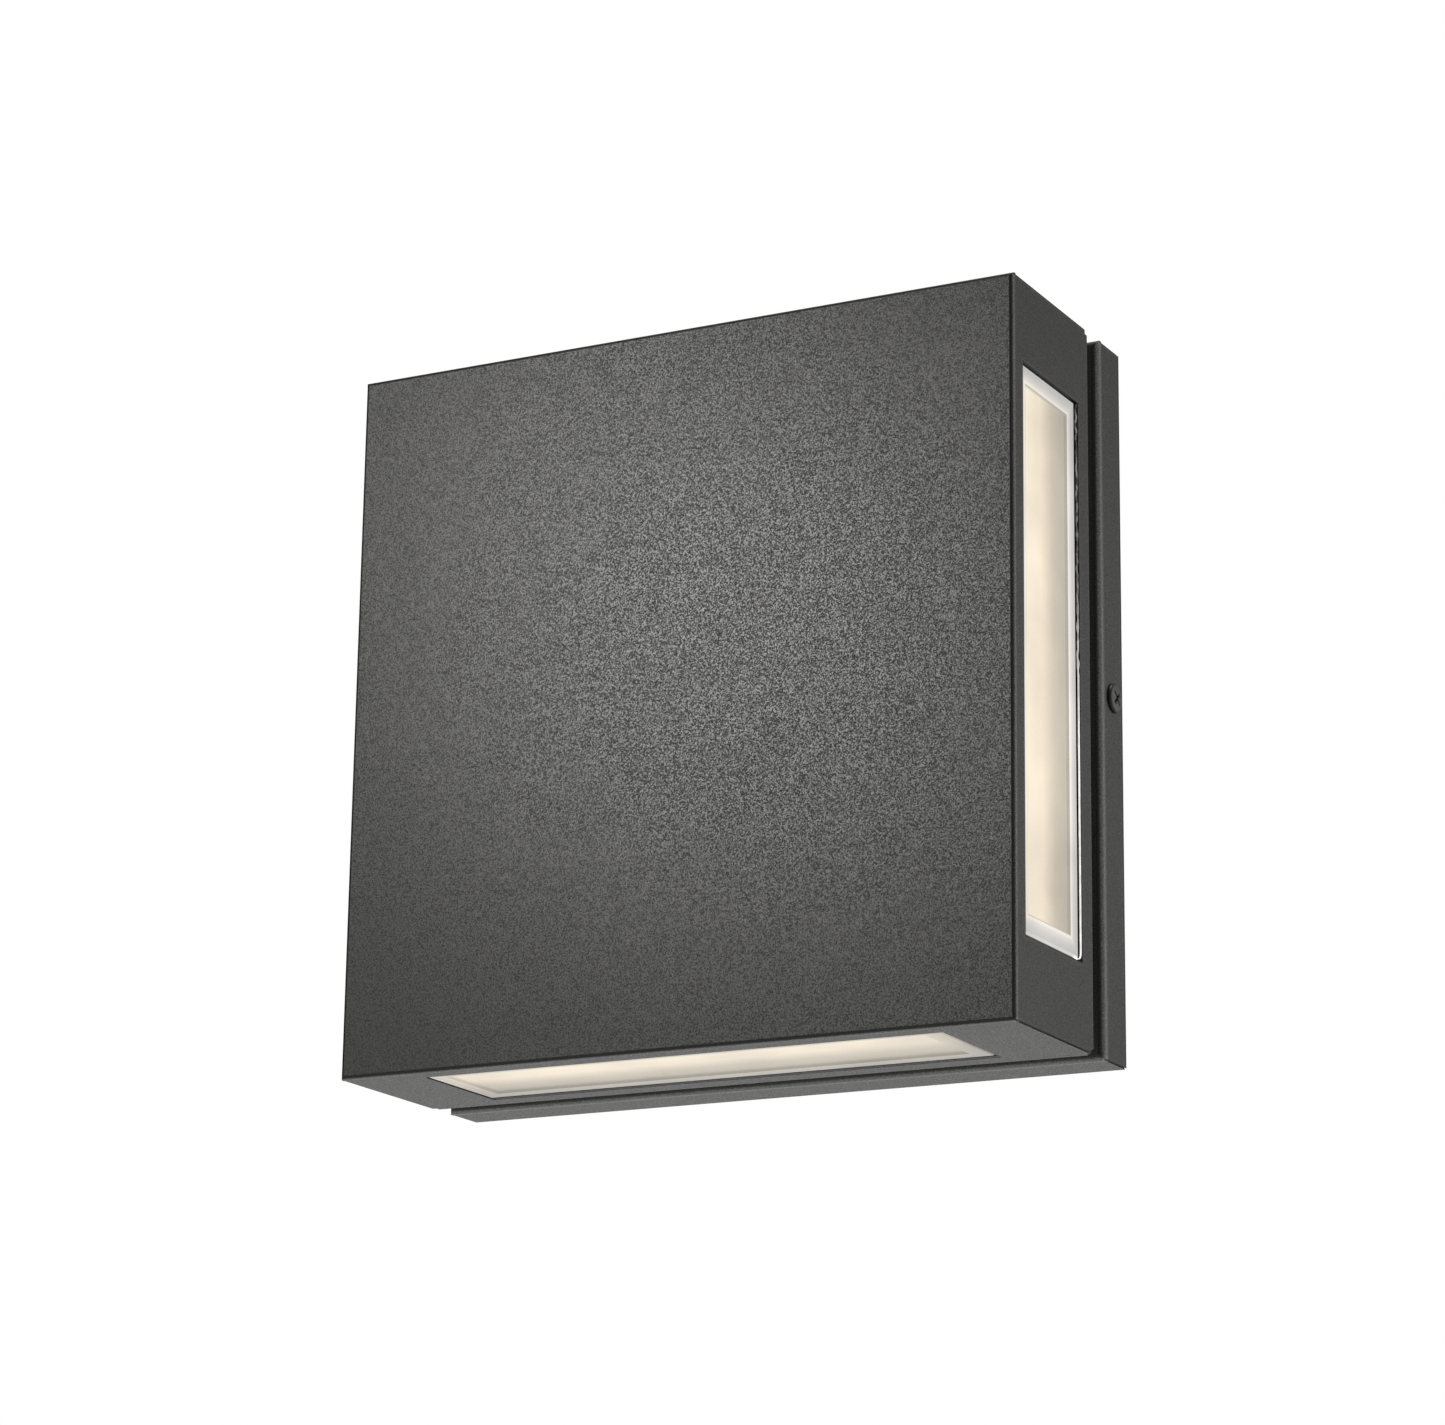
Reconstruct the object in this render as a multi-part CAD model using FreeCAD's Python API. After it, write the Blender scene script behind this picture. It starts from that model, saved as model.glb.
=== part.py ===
import FreeCAD
import Part
import math
import os

# A square wall light in millimetres: a folded body with a lit window in each of its four edges,
# a shallow wall pan behind a shadow gap, and a strap bracket that the pan's two side screws hold.
# The origin is the centre of the wall plane, +Z is up, the front faces -Y and the right side +X.

# Outer sizes
WIDTH = 203.0                # width and height of the body and of the pan
BODY_DEPTH = 50.0
SHADOW_GAP = 7.2             # between the body and the pan
PAN_DEPTH = 15.2
SHEET = 1.5                  # sheet thickness of the body and of the pan

# Folded sheet
BODY_BEND = 1.2              # outer radius along the body's front edges
PAN_BEND = 2.0               # outer radius along the pan's front edges
REAR_CORNER_ROUND = 1.8      # radius of the rear corners of the body's sides
SEAM_WIDTH = 0.4             # seam where two folded sides meet
SEAM_DEPTH = 0.7
SEAM_START = 0.8             # the seam begins this far behind the bend

# Windows and panes
WINDOW_LENGTH = 156.0
WINDOW_FRONT_MARGIN = 6.4    # from the front face to the window
WINDOW_REAR_MARGIN = 6.8     # from the window to the body's rear edge
PANE_CLEARANCE = 0.4         # at the pane's front edge and two ends
PANE_REAR_CHANNEL = 2.8      # behind the pane, for the sealant
PANE_FLANGE = 4.0            # how far the pane's flange reaches past the window
PANE_FLANGE_THICK = 2.0
PANE_CHAMFER = 0.4
SEAL_THICK = 0.8             # sealant between the flange and the sheet
BEAD_WIDTH = 1.8             # sealant bead in the channel, on the body's side of it
BEAD_RECESS = 0.3

# Rear plate of the body, and the gasket in front of it
PLATE_RECESS = 0.5
PLATE_THICK = 1.5
PLATE_CLEARANCE = 0.3
GASKET_THICK = 0.8
GASKET_WIDTH = 14.0
CORNER_SCREW_PLACE = 91.5    # plate screws, from the centre along both X and Z
CORNER_BRACKET_SIZE = 15.8
CORNER_BRACKET_TAB = 20.0
CORNER_BRACKET_THICK = 2.0

# Light engine
STRIP_PLACE = 77.5           # centre of each board, from the lamp's centre
STRIP_LENGTH = 138.0
STRIP_WIDTH = 14.0
STRIP_THICK = 1.6
STRIP_SCREW_PLACE = 64.0
CHIP_COUNT = 10
CHIP_PITCH = 12.0
CHIP_LENGTH = 3.5
CHIP_WIDTH = 2.8
CHIP_HEIGHT = 0.8
REFLECTOR_REAR = 69.0        # half width at the rear plate
REFLECTOR_FRONT = 94.0       # half width at the front face
REFLECTOR_THICK = 0.8
DRIVER_LENGTH = 72.0
DRIVER_HEIGHT = 36.0
DRIVER_DEPTH = 22.0
DRIVER_DROP = 32.0           # centre of the driver below the lamp's centre
DRIVER_ROUND = 2.0
DRIVER_TAB = 8.0
DRIVER_TAB_HEIGHT = 12.0
DRIVER_TAB_THICK = 1.5

# Neck between the body and the pan
NECK_OUTER = 55.0            # half widths
NECK_INNER = 35.0
NECK_ROUND = 8.0
NECK_GASKET_THICK = 1.0
NECK_BOLT_PLACE = 45.0
GROMMET_BORE = 4.5           # radii
GROMMET_HOLE = 7.0
GROMMET_FLANGE = 9.5
GROMMET_LIP = 1.6

# Wall strap and the pieces that meet it
STRAP_THICK = 2.0
STRAP_HEIGHT = 30.0
STRAP_GAP = 0.3              # between each ear and the pan's side
EAR_DEPTH = 12.6
EAR_HEIGHT = 22.0
STRAP_BEND = 3.0
WIRE_HOLE = 10.0             # radius of the strap's centre hole
BOX_SCREW_SPACING = 79.4     # centre to centre of the two slots, for 2 3/4 in and 3 1/2 in boxes
BOX_SLOT_RADIUS = 2.3
BOX_SLOT_LENGTH = 14.1
GROUND_SCREW_PLACE = 64.0
WALL_GASKET_THICK = 4.0
WALL_GASKET_WIDTH = 6.0
WALL_GASKET_NOTCH = 16.0     # half height of the notch for the strap

# Side screws, at mid height
SIDE_SCREW_Y = -6.5
SIDE_SHANK = 2.0             # radii
SIDE_HEAD = 4.05
SIDE_HEAD_HEIGHT = 1.4
SIDE_SHANK_LENGTH = 10.0
SIDE_NUT_ACROSS = 7.0
SIDE_NUT_THICK = 3.2
THREAD_CLEARANCE = 0.05      # running clearance of the screw in its nut
HOLE_CLEARANCE = 0.3         # clearance of a screw in a plain hole

# Fasteners: shank radius, head radius, head height
SMALL_SCREW = (1.5, 2.8, 1.8)
PLATE_SCREW = (2.0, 3.9, 2.3)
NECK_BOLT = (2.5, 4.6, 3.0)
GROUND_SCREW = (2.4, 4.4, 2.6)
NECK_NUT_ACROSS = 8.0
NECK_NUT_THICK = 4.0
WASHER_OUTER = 5.0
WASHER_THICK = 1.0
RECESS_ARM = 0.9             # width of each arm of a cross recess
RECESS_REACH = 0.60          # length of each arm, as a share of the head's radius
RECESS_FLOOR = 0.4           # height of the recess's floor, as a share of the head's height
CROWN_ROUND = 0.65           # round of the head's crown, as a share of its height
SHANK_CHAMFER = 0.4

PAST = 1.0                   # how far a cutter runs past the face that it opens
TINY = 1e-6                  # how near two places count as the same

# Places worked out from the sizes above
HALF = WIDTH / 2
INNER = HALF - SHEET
PAN_FRONT = -PAN_DEPTH
PAN_INSIDE = PAN_FRONT + SHEET
BODY_REAR = PAN_FRONT - SHADOW_GAP
BODY_FRONT = BODY_REAR - BODY_DEPTH
BODY_INSIDE = BODY_FRONT + SHEET
WINDOW_Y = (BODY_FRONT + WINDOW_FRONT_MARGIN, BODY_REAR - WINDOW_REAR_MARGIN)
WINDOW_Z = (-WINDOW_LENGTH / 2, WINDOW_LENGTH / 2)
PANE_Y = (WINDOW_Y[0] + PANE_CLEARANCE, WINDOW_Y[1] - PANE_REAR_CHANNEL)
PANE_Z = (WINDOW_Z[0] + PANE_CLEARANCE, WINDOW_Z[1] - PANE_CLEARANCE)
FLANGE_Y = (WINDOW_Y[0] - PANE_FLANGE, WINDOW_Y[1] + PANE_FLANGE)
FLANGE_Z = (WINDOW_Z[0] - PANE_FLANGE, WINDOW_Z[1] + PANE_FLANGE)
FLANGE_X = (INNER - SEAL_THICK - PANE_FLANGE_THICK, INNER - SEAL_THICK)
PLATE_REAR = BODY_REAR - PLATE_RECESS
PLATE_FRONT = PLATE_REAR - PLATE_THICK
GASKET_FRONT = PLATE_FRONT - GASKET_THICK
NECK_REAR = PAN_FRONT - NECK_GASKET_THICK
EAR_OUTSIDE = INNER - STRAP_GAP
EAR_INSIDE = EAR_OUTSIDE - STRAP_THICK

Vec = FreeCAD.Vector
CENTRE = Vec(0, 0, 0)
ALONG_X = Vec(1, 0, 0)
ALONG_Y = Vec(0, 1, 0)
ALONG_Z = Vec(0, 0, 1)
HEAD_TO_REAR = 90            # turn about Z that points a screw's head at the wall
HEAD_TO_FRONT = -90          # turn about Z that points a screw's head at the front
SIDE_TURNS = {"right": 0, "bottom": 90, "left": 180, "top": 270}
CORNERS = [(x, z) for x in (-1, 1) for z in (-1, 1)]


def block(x, y, z):
    """A box between the low and high values along each axis."""
    return Part.makeBox(x[1] - x[0], y[1] - y[0], z[1] - z[0], Vec(x[0], y[0], z[0]))


def square(half, y):
    """A square slab centred on the lamp's axis."""
    return block((-half, half), y, (-half, half))


def drill(radius, y, x=0.0, z=0.0):
    """A round bar along Y, used for holes and round pieces."""
    return Part.makeCylinder(radius, y[1] - y[0], Vec(x, y[0], z), ALONG_Y)


def turned(shape, angle, axis=ALONG_Y):
    """A copy turned about an axis through the origin."""
    copy = shape.copy()
    copy.rotate(CENTRE, axis, angle)
    return copy


def moved(shape, x, y, z):
    copy = shape.copy()
    copy.translate(Vec(x, y, z))
    return copy


def edges_at(shape, y):
    """The edges that lie in the plane at this depth."""
    return [edge for edge in shape.Edges if all(abs(v.Y - y) < TINY for v in edge.Vertexes)]


def upright_edges(shape):
    """The edges that run along Y."""
    return [edge for edge in shape.Edges if max(edge.BoundBox.XLength, edge.BoundBox.ZLength) < TINY]


def folded_tray(front, rear, bend):
    """A square sheet tray, open at the rear, with a bend along its front edges and corner seams."""
    outer = square(HALF, (front, rear))
    outer = outer.makeFillet(bend, edges_at(outer, front))
    tray = outer.cut(square(INNER, (front + SHEET, rear + PAST)))
    seam = block((-SEAM_WIDTH / 2, SEAM_WIDTH / 2), (front + bend + SEAM_START, rear + PAST),
                 (-SEAM_DEPTH, SEAM_DEPTH))
    for x, z in CORNERS:
        slit = moved(turned(seam, 45 * x * z), x * HALF, 0, z * HALF)
        tray = tray.cut(slit)
    return tray


def rear_corner_cutter(side):
    """What rounds one rear corner of the body's right side."""
    centre_y = BODY_REAR - REAR_CORNER_ROUND
    centre_z = side * (HALF - REAR_CORNER_ROUND)
    z = sorted((centre_z, side * (HALF + PAST)))
    corner = block((INNER, HALF + PAST), (centre_y, BODY_REAR + PAST), z)
    round_bar = Part.makeCylinder(REAR_CORNER_ROUND, WIDTH, Vec(0, centre_y, centre_z), ALONG_X)
    return corner.cut(round_bar)


def housing_shell():
    """The body: front face and four sides, folded from one sheet, with a window in each side."""
    shell = folded_tray(BODY_FRONT, BODY_REAR, BODY_BEND)
    window = block((INNER - PAST, HALF + PAST), WINDOW_Y, WINDOW_Z)
    rear_corners = [rear_corner_cutter(side) for side in (-1, 1)]
    for angle in SIDE_TURNS.values():
        for cutter in [window] + rear_corners:
            shell = shell.cut(turned(cutter, angle))
    return shell


def window_pane():
    """The right pane: a frosted plate flush with the body, on a wider flange behind the sheet."""
    plate = block((INNER - SEAL_THICK, HALF), PANE_Y, PANE_Z)
    rim = [edge for edge in plate.Edges if all(abs(v.X - HALF) < TINY for v in edge.Vertexes)]
    plate = plate.makeChamfer(PANE_CHAMFER, rim)
    return plate.fuse(block(FLANGE_X, FLANGE_Y, FLANGE_Z)).removeSplitter()


def pane_seal():
    """Sealant under the right pane's flange, with a bead in the channel behind the pane."""
    under = block((FLANGE_X[1], INNER), FLANGE_Y, FLANGE_Z)
    under = under.cut(block((FLANGE_X[1] - PAST, INNER + PAST), WINDOW_Y, WINDOW_Z))
    bead_y = (WINDOW_Y[1] - BEAD_WIDTH, WINDOW_Y[1])
    bead = block((FLANGE_X[1], HALF - BEAD_RECESS), bead_y, WINDOW_Z)
    return under.fuse(bead).removeSplitter()


def led_strip():
    """The right board, flat on the rear plate, with a hole near each end."""
    board = block((STRIP_PLACE - STRIP_WIDTH / 2, STRIP_PLACE + STRIP_WIDTH / 2),
                  (PLATE_FRONT - STRIP_THICK, PLATE_FRONT), (-STRIP_LENGTH / 2, STRIP_LENGTH / 2))
    for z in (-STRIP_SCREW_PLACE, STRIP_SCREW_PLACE):
        board = board.cut(drill(SMALL_SCREW[0], (PLATE_FRONT - STRIP_THICK, PLATE_FRONT), STRIP_PLACE, z))
    return board


def led_chips():
    """The light sources on the right board, each a separate solid."""
    board_face = PLATE_FRONT - STRIP_THICK
    chips = []
    for index in range(CHIP_COUNT):
        z = (index - (CHIP_COUNT - 1) / 2) * CHIP_PITCH
        chips.append(block((STRIP_PLACE - CHIP_WIDTH / 2, STRIP_PLACE + CHIP_WIDTH / 2),
                           (board_face - CHIP_HEIGHT, board_face), (z - CHIP_LENGTH / 2, z + CHIP_LENGTH / 2)))
    return Part.makeCompound(chips)


def square_wire(half, y):
    corners = [Vec(-half, y, -half), Vec(half, y, -half), Vec(half, y, half), Vec(-half, y, half)]
    return Part.makePolygon(corners + corners[:1])


def reflector():
    """A white tray that flares towards the front, hides the driver and throws light at the panes."""
    outer = Part.makeLoft([square_wire(REFLECTOR_REAR, PLATE_FRONT),
                           square_wire(REFLECTOR_FRONT, BODY_INSIDE)], True)
    hollow = Part.makeLoft([square_wire(REFLECTOR_REAR - REFLECTOR_THICK, PLATE_FRONT),
                            square_wire(REFLECTOR_FRONT - REFLECTOR_THICK, BODY_INSIDE + REFLECTOR_THICK)],
                           True)
    return outer.cut(hollow)


def driver_case():
    """The driver's case, screwed to the rear plate by a tab at each end."""
    x = (-DRIVER_LENGTH / 2, DRIVER_LENGTH / 2)
    z = (-DRIVER_DROP - DRIVER_HEIGHT / 2, -DRIVER_DROP + DRIVER_HEIGHT / 2)
    case = block(x, (PLATE_FRONT - DRIVER_DEPTH, PLATE_FRONT), z)
    case = case.makeFillet(DRIVER_ROUND, upright_edges(case) + edges_at(case, PLATE_FRONT - DRIVER_DEPTH))
    tab_z = (-DRIVER_DROP - DRIVER_TAB_HEIGHT / 2, -DRIVER_DROP + DRIVER_TAB_HEIGHT / 2)
    tabs = block((x[0] - DRIVER_TAB, x[1] + DRIVER_TAB), (PLATE_FRONT - DRIVER_TAB_THICK, PLATE_FRONT), tab_z)
    for side in (-1, 1):
        hole_x = side * (DRIVER_LENGTH + DRIVER_TAB) / 2
        tabs = tabs.cut(drill(SMALL_SCREW[0], (PLATE_FRONT - DRIVER_TAB_THICK, PLATE_FRONT), hole_x,
                              -DRIVER_DROP))
    return case.fuse(tabs).removeSplitter()


def rear_plate():
    """The plate that closes the body and carries the light engine, with its screw holes."""
    thickness = (PLATE_FRONT, PLATE_REAR)
    plate = square(INNER - PLATE_CLEARANCE, thickness)
    holes = [drill(GROMMET_HOLE, thickness)]
    for x, z in CORNERS:
        holes.append(drill(PLATE_SCREW[0], thickness, x * CORNER_SCREW_PLACE, z * CORNER_SCREW_PLACE))
        holes.append(drill(NECK_BOLT[0], thickness, x * NECK_BOLT_PLACE, z * NECK_BOLT_PLACE))
    for angle in SIDE_TURNS.values():
        for z in (-STRIP_SCREW_PLACE, STRIP_SCREW_PLACE):
            holes.append(turned(drill(SMALL_SCREW[0], thickness, STRIP_PLACE, z), angle))
    for side in (-1, 1):
        holes.append(drill(SMALL_SCREW[0], thickness, side * (DRIVER_LENGTH + DRIVER_TAB) / 2, -DRIVER_DROP))
    for hole in holes:
        plate = plate.cut(hole)
    return plate


def rear_gasket():
    """A flat ring between the rear plate and the panes' flanges and corner brackets."""
    thickness = (GASKET_FRONT, PLATE_FRONT)
    outer = INNER - PLATE_CLEARANCE
    ring = square(outer, thickness).cut(square(outer - GASKET_WIDTH, thickness))
    for x, z in CORNERS:
        ring = ring.cut(drill(PLATE_SCREW[0], thickness, x * CORNER_SCREW_PLACE, z * CORNER_SCREW_PLACE))
    return ring


def corner_brackets():
    """Four angles inside the body's corners, which take the rear plate's screws."""
    low = INNER - CORNER_BRACKET_SIZE
    base_y = (GASKET_FRONT - CORNER_BRACKET_THICK, GASKET_FRONT)
    tab_y = (GASKET_FRONT - CORNER_BRACKET_TAB, GASKET_FRONT)
    bracket = block((low, INNER), base_y, (low, INNER))
    bracket = bracket.fuse(block((INNER - CORNER_BRACKET_THICK, INNER), tab_y, (low, INNER)))
    bracket = bracket.fuse(block((low, INNER), tab_y, (INNER - CORNER_BRACKET_THICK, INNER)))
    bracket = bracket.cut(drill(PLATE_SCREW[0], base_y, CORNER_SCREW_PLACE, CORNER_SCREW_PLACE))
    return Part.makeCompound([turned(bracket.removeSplitter(), angle) for angle in SIDE_TURNS.values()])


def rounded_square(half, y, radius):
    slab = square(half, y)
    return slab.makeFillet(radius, upright_edges(slab))


def neck_slab(y):
    """One layer of the neck: a rounded square ring with four bolt holes."""
    ring = rounded_square(NECK_OUTER, y, NECK_ROUND).cut(rounded_square(NECK_INNER, y, NECK_ROUND))
    for x, z in CORNERS:
        ring = ring.cut(drill(NECK_BOLT[0], y, x * NECK_BOLT_PLACE, z * NECK_BOLT_PLACE))
    return ring


def back_pan():
    """The wall pan: a folded tray, open at the wall, with bolt, wire and side screw holes."""
    pan = folded_tray(PAN_FRONT, 0, PAN_BEND)
    front = (PAN_FRONT - PAST, PAN_INSIDE + PAST)
    holes = [drill(GROMMET_HOLE, front)]
    for x, z in CORNERS:
        holes.append(drill(NECK_BOLT[0], front, x * NECK_BOLT_PLACE, z * NECK_BOLT_PLACE))
    holes.append(Part.makeCylinder(SIDE_SHANK + HOLE_CLEARANCE, WIDTH + 2 * PAST,
                                   Vec(-HALF - PAST, SIDE_SCREW_Y, 0), ALONG_X))
    for hole in holes:
        pan = pan.cut(hole)
    return pan


def grommet(sheet_y):
    """A rubber ring that lines a wire hole, with a lip on each side of the sheet."""
    ring = drill(GROMMET_HOLE, (sheet_y[0] - GROMMET_LIP, sheet_y[1] + GROMMET_LIP))
    for y in ((sheet_y[0] - GROMMET_LIP, sheet_y[0]), (sheet_y[1], sheet_y[1] + GROMMET_LIP)):
        lip = drill(GROMMET_FLANGE, y)
        outside = y[0] if y[0] < sheet_y[0] else y[1]
        lip = lip.makeFillet(GROMMET_LIP / 2, edges_at(lip, outside))
        ring = ring.fuse(lip)
    bore = drill(GROMMET_BORE, (sheet_y[0] - GROMMET_LIP - PAST, sheet_y[1] + GROMMET_LIP + PAST))
    return ring.removeSplitter().cut(bore)


def cross_screw(shank, head, head_height, shank_length):
    """A round head screw along X with a cross recess: its head sits on x = 0, outside it."""
    body = Part.makeCylinder(head, head_height, CENTRE, ALONG_X)
    crown = [edge for edge in body.Edges if abs(edge.BoundBox.XMin - head_height) < TINY]
    body = body.makeFillet(head_height * CROWN_ROUND, crown)
    recess = (head_height * RECESS_FLOOR, head_height + PAST)
    reach = head * RECESS_REACH
    arm = (-RECESS_ARM / 2, RECESS_ARM / 2)
    cross = block(recess, arm, (-reach, reach)).fuse(block(recess, (-reach, reach), arm))
    stem = Part.makeCylinder(shank, shank_length, Vec(-shank_length, 0, 0), ALONG_X)
    tip = [edge for edge in stem.Edges if abs(edge.BoundBox.XMax + shank_length) < TINY]
    stem = stem.makeChamfer(SHANK_CHAMFER, tip)
    return body.cut(turned(cross, 45, ALONG_X)).fuse(stem).removeSplitter()


def hexagon(across, thickness):
    """A six-sided prism along X, from x = 0 towards -X."""
    corner = across / 2 / math.cos(math.pi / 6)
    points = [Vec(0, corner * math.cos(turn * math.pi / 3), corner * math.sin(turn * math.pi / 3))
              for turn in range(6)]
    return Part.Face(Part.makePolygon(points + points[:1])).extrude(Vec(-thickness, 0, 0))


def side_screw():
    """The right side screw, with its head on the outside of the pan."""
    screw = cross_screw(SIDE_SHANK, SIDE_HEAD, SIDE_HEAD_HEIGHT, SIDE_SHANK_LENGTH)
    return moved(screw, HALF, SIDE_SCREW_Y, 0)


def side_nuts():
    """A nut fixed to the inside of each ear of the strap."""
    bore = Part.makeCylinder(SIDE_SHANK + THREAD_CLEARANCE, SIDE_NUT_THICK + 2 * PAST,
                             Vec(-SIDE_NUT_THICK - PAST, 0, 0), ALONG_X)
    nut = moved(hexagon(SIDE_NUT_ACROSS, SIDE_NUT_THICK).cut(bore), EAR_INSIDE, SIDE_SCREW_Y, 0)
    return Part.makeCompound([turned(nut, angle) for angle in (SIDE_TURNS["right"], SIDE_TURNS["left"])])


def wall_strap():
    """The strap that is screwed to the wall box, with an ear at each end for a side screw."""
    strap = block((-EAR_OUTSIDE, EAR_OUTSIDE), (-EAR_DEPTH, 0), (-STRAP_HEIGHT / 2, STRAP_HEIGHT / 2))
    bends = [edge for edge in edges_at(strap, 0) if edge.BoundBox.XLength < TINY]
    strap = strap.makeFillet(STRAP_BEND, bends)
    strap = strap.cut(block((-EAR_INSIDE, EAR_INSIDE), (-EAR_DEPTH - PAST, -STRAP_THICK),
                            (-STRAP_HEIGHT, STRAP_HEIGHT)))
    for side in (-1, 1):
        ear_trim = (side * EAR_HEIGHT / 2, side * STRAP_HEIGHT)
        strap = strap.cut(block((-HALF, HALF), (-EAR_DEPTH - PAST, -STRAP_THICK - STRAP_BEND),
                                (min(ear_trim), max(ear_trim))))
    through = (-STRAP_THICK - PAST, PAST)
    cutters = [drill(WIRE_HOLE, through), drill(GROUND_SCREW[0], through, GROUND_SCREW_PLACE)]
    for side in (-1, 1):
        centre = side * BOX_SCREW_SPACING / 2
        straight = BOX_SLOT_LENGTH / 2 - BOX_SLOT_RADIUS
        cutters.append(block((centre - straight, centre + straight), through,
                             (-BOX_SLOT_RADIUS, BOX_SLOT_RADIUS)))
        cutters.append(drill(BOX_SLOT_RADIUS, through, centre - straight))
        cutters.append(drill(BOX_SLOT_RADIUS, through, centre + straight))
    cutters.append(Part.makeCylinder(SIDE_SHANK + HOLE_CLEARANCE, WIDTH, Vec(-HALF, SIDE_SCREW_Y, 0),
                                     ALONG_X))
    for cutter in cutters:
        strap = strap.cut(cutter)
    return strap


def wall_gasket():
    """Foam inside the pan's rim, in an upper and a lower piece that leave room for the strap."""
    thickness = (-WALL_GASKET_THICK, 0)
    ring = square(INNER, thickness).cut(square(INNER - WALL_GASKET_WIDTH, thickness))
    return ring.cut(block((-HALF, HALF), thickness, (-WALL_GASKET_NOTCH, WALL_GASKET_NOTCH)))


def at_corners(shape, place, y):
    """Four copies of a piece, at the same distance from the centre along X and Z."""
    return Part.makeCompound([moved(shape, x * place, y, z * place) for x, z in CORNERS])


def plate_screws():
    length = PLATE_REAR - GASKET_FRONT + CORNER_BRACKET_THICK
    screw = turned(cross_screw(*PLATE_SCREW, length), HEAD_TO_REAR, ALONG_Z)
    return at_corners(screw, CORNER_SCREW_PLACE, PLATE_REAR)


def neck_bolts():
    head_seat = PAN_INSIDE + WASHER_THICK
    length = head_seat - PLATE_FRONT + NECK_NUT_THICK + PAST
    bolt = turned(cross_screw(*NECK_BOLT, length), HEAD_TO_REAR, ALONG_Z)
    return at_corners(bolt, NECK_BOLT_PLACE, head_seat)


def neck_washers():
    y = (0, WASHER_THICK)
    return at_corners(drill(WASHER_OUTER, y).cut(drill(NECK_BOLT[0], y)), NECK_BOLT_PLACE, PAN_INSIDE)


def neck_nuts():
    nut = turned(hexagon(NECK_NUT_ACROSS, NECK_NUT_THICK), HEAD_TO_REAR, ALONG_Z)
    nut = nut.cut(drill(NECK_BOLT[0], (-NECK_NUT_THICK, 0)))
    return at_corners(nut, NECK_BOLT_PLACE, PLATE_FRONT)


def strip_screws():
    """Two screws through each board, ending flush with the back of the rear plate."""
    screw = turned(cross_screw(*SMALL_SCREW, STRIP_THICK + PLATE_THICK), HEAD_TO_FRONT, ALONG_Z)
    screws = []
    for angle in SIDE_TURNS.values():
        for z in (-STRIP_SCREW_PLACE, STRIP_SCREW_PLACE):
            screws.append(turned(moved(screw, STRIP_PLACE, PLATE_FRONT - STRIP_THICK, z), angle))
    return Part.makeCompound(screws)


def driver_screws():
    screw = turned(cross_screw(*SMALL_SCREW, DRIVER_TAB_THICK + PLATE_THICK), HEAD_TO_FRONT, ALONG_Z)
    place = (DRIVER_LENGTH + DRIVER_TAB) / 2
    return Part.makeCompound([moved(screw, side * place, PLATE_FRONT - DRIVER_TAB_THICK, -DRIVER_DROP)
                              for side in (-1, 1)])


def ground_screw():
    screw = turned(cross_screw(*GROUND_SCREW, STRAP_THICK), HEAD_TO_FRONT, ALONG_Z)
    return moved(screw, GROUND_SCREW_PLACE, -STRAP_THICK, 0)


def all_nodes():
    """Every sub-part of the light, by name."""
    nodes = {
        "housing_shell": housing_shell(),
        "reflector": reflector(),
        "strip_screws": strip_screws(),
        "driver_case": driver_case(),
        "driver_screws": driver_screws(),
        "rear_plate": rear_plate(),
        "rear_gasket": rear_gasket(),
        "corner_brackets": corner_brackets(),
        "plate_screws": plate_screws(),
        "neck_block": neck_slab((PLATE_REAR, NECK_REAR)),
        "neck_gasket": neck_slab((NECK_REAR, PAN_FRONT)),
        "neck_bolts": neck_bolts(),
        "neck_washers": neck_washers(),
        "neck_nuts": neck_nuts(),
        "plate_grommet": grommet((PLATE_FRONT, PLATE_REAR)),
        "pan_grommet": grommet((PAN_FRONT, PAN_INSIDE)),
        "back_pan": back_pan(),
        "wall_gasket": wall_gasket(),
        "wall_strap": wall_strap(),
        "side_nuts": side_nuts(),
        "ground_screw": ground_screw(),
        "side_screw_right": side_screw(),
        "side_screw_left": turned(side_screw(), SIDE_TURNS["left"]),
    }
    for side, angle in SIDE_TURNS.items():
        nodes["window_pane_" + side] = turned(window_pane(), angle)
        nodes["pane_seal_" + side] = turned(pane_seal(), angle)
        nodes["led_strip_" + side] = turned(led_strip(), angle)
        nodes["led_chips_" + side] = turned(led_chips(), angle)
    return nodes


os.makedirs("parts", exist_ok=True)
for name, shape in all_nodes().items():
    if not shape.isValid():
        raise SystemExit(name + " is not a valid shape")
    shape.exportStep("parts/" + name + ".step")
    print(f"{name}: {len(shape.Solids)} solid(s), {shape.Volume / 1000:.2f} cm3")
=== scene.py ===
import math

import bmesh
import bpy
from mathutils import Matrix, Vector, noise


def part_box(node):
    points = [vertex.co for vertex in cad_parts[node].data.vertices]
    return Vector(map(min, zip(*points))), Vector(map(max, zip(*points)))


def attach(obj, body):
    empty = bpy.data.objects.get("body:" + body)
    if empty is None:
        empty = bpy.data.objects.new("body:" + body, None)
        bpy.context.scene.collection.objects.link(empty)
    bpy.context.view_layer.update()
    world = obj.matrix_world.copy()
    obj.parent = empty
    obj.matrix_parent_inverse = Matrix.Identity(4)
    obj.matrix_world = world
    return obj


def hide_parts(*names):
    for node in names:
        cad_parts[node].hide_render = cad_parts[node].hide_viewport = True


# Looks of the square wall light, in metres, in the frame of the CAD model: +Z is up, the front
# faces -Y, the wall plane is y = 0 and +X is the right side.

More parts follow.
